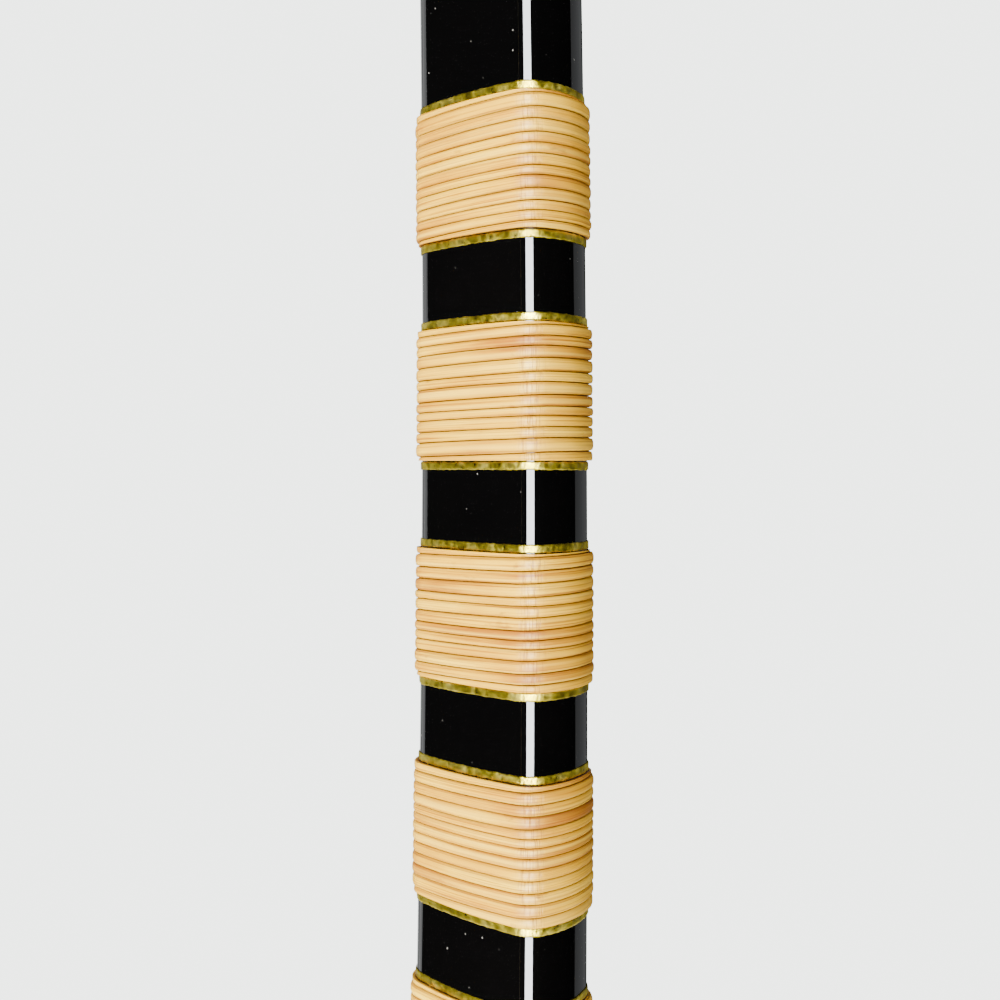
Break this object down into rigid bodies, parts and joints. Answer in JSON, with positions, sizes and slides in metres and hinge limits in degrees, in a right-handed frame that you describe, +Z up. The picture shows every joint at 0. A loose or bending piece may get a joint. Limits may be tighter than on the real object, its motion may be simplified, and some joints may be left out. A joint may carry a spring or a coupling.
{
  "type": "japanese longbow",
  "caption": "Braced asymmetric longbow of black lacquered laminated bamboo, bound in groups of rattan bands with gold edges.",
  "frame": {"origin": "middle of the grip, on the centre line of the stave", "axes": "+Z up the bow to the upper nock, +X from the stave to the string, +Y across the stave"},
  "size_m": [0.1885, 0.033, 2.168],
  "materials": {
    "black_lacquer": "gloss black lacquer over bamboo and wood",
    "core_wood": "bare laminated bamboo strips, sealed in",
    "rattan": "split rattan, satin",
    "gold_leaf": "crinkled gold leaf strip",
    "underlay": "paper and cloth padding",
    "grip_leather": "smoked deerskin wrap",
    "upper_loop_cloth": "red cloth binding",
    "lower_loop_cloth": "white cloth binding",
    "string": "resin-rubbed hemp cord",
    "serving": "wound hemp thread"
  },
  "bodies": {
    "grip": {"grip_back_bamboo": "black_lacquer", "grip_belly_bamboo": "black_lacquer", "grip_side_wood_left": "black_lacquer", "grip_side_wood_right": "black_lacquer", "grip_core_strips": "core_wood", "grip_underlay": "underlay", "grip_leather": "grip_leather", "arrow_rest_rattan": "rattan", "below_grip_rattan": "rattan", "grip_gold_strips": "gold_leaf"},
    "upper_limb": {"upper_back_bamboo": "black_lacquer", "upper_belly_bamboo": "black_lacquer", "upper_side_wood_left": "black_lacquer", "upper_side_wood_right": "black_lacquer", "upper_core_strips": "core_wood", "upper_tip_plate": "black_lacquer", "upper_nock": "black_lacquer", "upper_string_loop": "upper_loop_cloth", "upper_rattan_bands_1": "rattan", "upper_rattan_bands_2": "rattan", "upper_rattan_bands_3": "rattan", "upper_rattan_bands_4": "rattan", "upper_gold_strips_1": "gold_leaf", "upper_gold_strips_2": "gold_leaf", "upper_gold_strips_3": "gold_leaf", "upper_gold_strips_4": "gold_leaf"},
    "lower_limb": {"lower_back_bamboo": "black_lacquer", "lower_belly_bamboo": "black_lacquer", "lower_side_wood_left": "black_lacquer", "lower_side_wood_right": "black_lacquer", "lower_core_strips": "core_wood", "lower_tip_plate": "black_lacquer", "lower_nock": "black_lacquer", "lower_string_loop": "lower_loop_cloth", "lower_rattan_bands_1": "rattan", "lower_rattan_bands_2": "rattan", "lower_rattan_bands_3": "rattan", "lower_rattan_bands_4": "rattan", "lower_gold_strips_1": "gold_leaf", "lower_gold_strips_2": "gold_leaf", "lower_gold_strips_3": "gold_leaf", "lower_gold_strips_4": "gold_leaf"},
    "string_upper": {"upper_string_half": "string", "upper_serving": "serving"},
    "string_lower": {"lower_string_half": "string", "lower_serving": "serving"}
  },
  "joints": [
    {"name": "draw", "type": "hinge", "parent": "grip", "child": "upper_limb", "pos_m": [0.00367, 0, 0.15538], "axis": [0, 1, 0], "range_deg": [0, 13.96], "stiffness_Nm_per_rad": 1760},
    {"name": "lower_limb_bend", "type": "hinge", "parent": "grip", "child": "lower_limb", "pos_m": [0.01051, 0, -0.08286], "axis": [0, -1, 0], "range_deg": [0, 28.78]},
    {"name": "upper_string_swing", "type": "hinge", "parent": "upper_limb", "child": "string_upper", "pos_m": [0.159, 0, 1.38969], "axis": [0, -1, 0], "range_deg": [0, 33.22]},
    {"name": "lower_string_swing", "type": "hinge", "parent": "lower_limb", "child": "string_lower", "pos_m": [0.159, 0, -0.70131], "axis": [0, 1, 0], "range_deg": [0, 65]}
  ],
  "couplings": [
    {"joint": "lower_limb_bend", "follows": "draw", "ratio": 2.058},
    {"joint": "upper_string_swing", "follows": "draw", "ratio": 2.3761},
    {"joint": "lower_string_swing", "follows": "draw", "ratio": 4.6526}
  ]
}
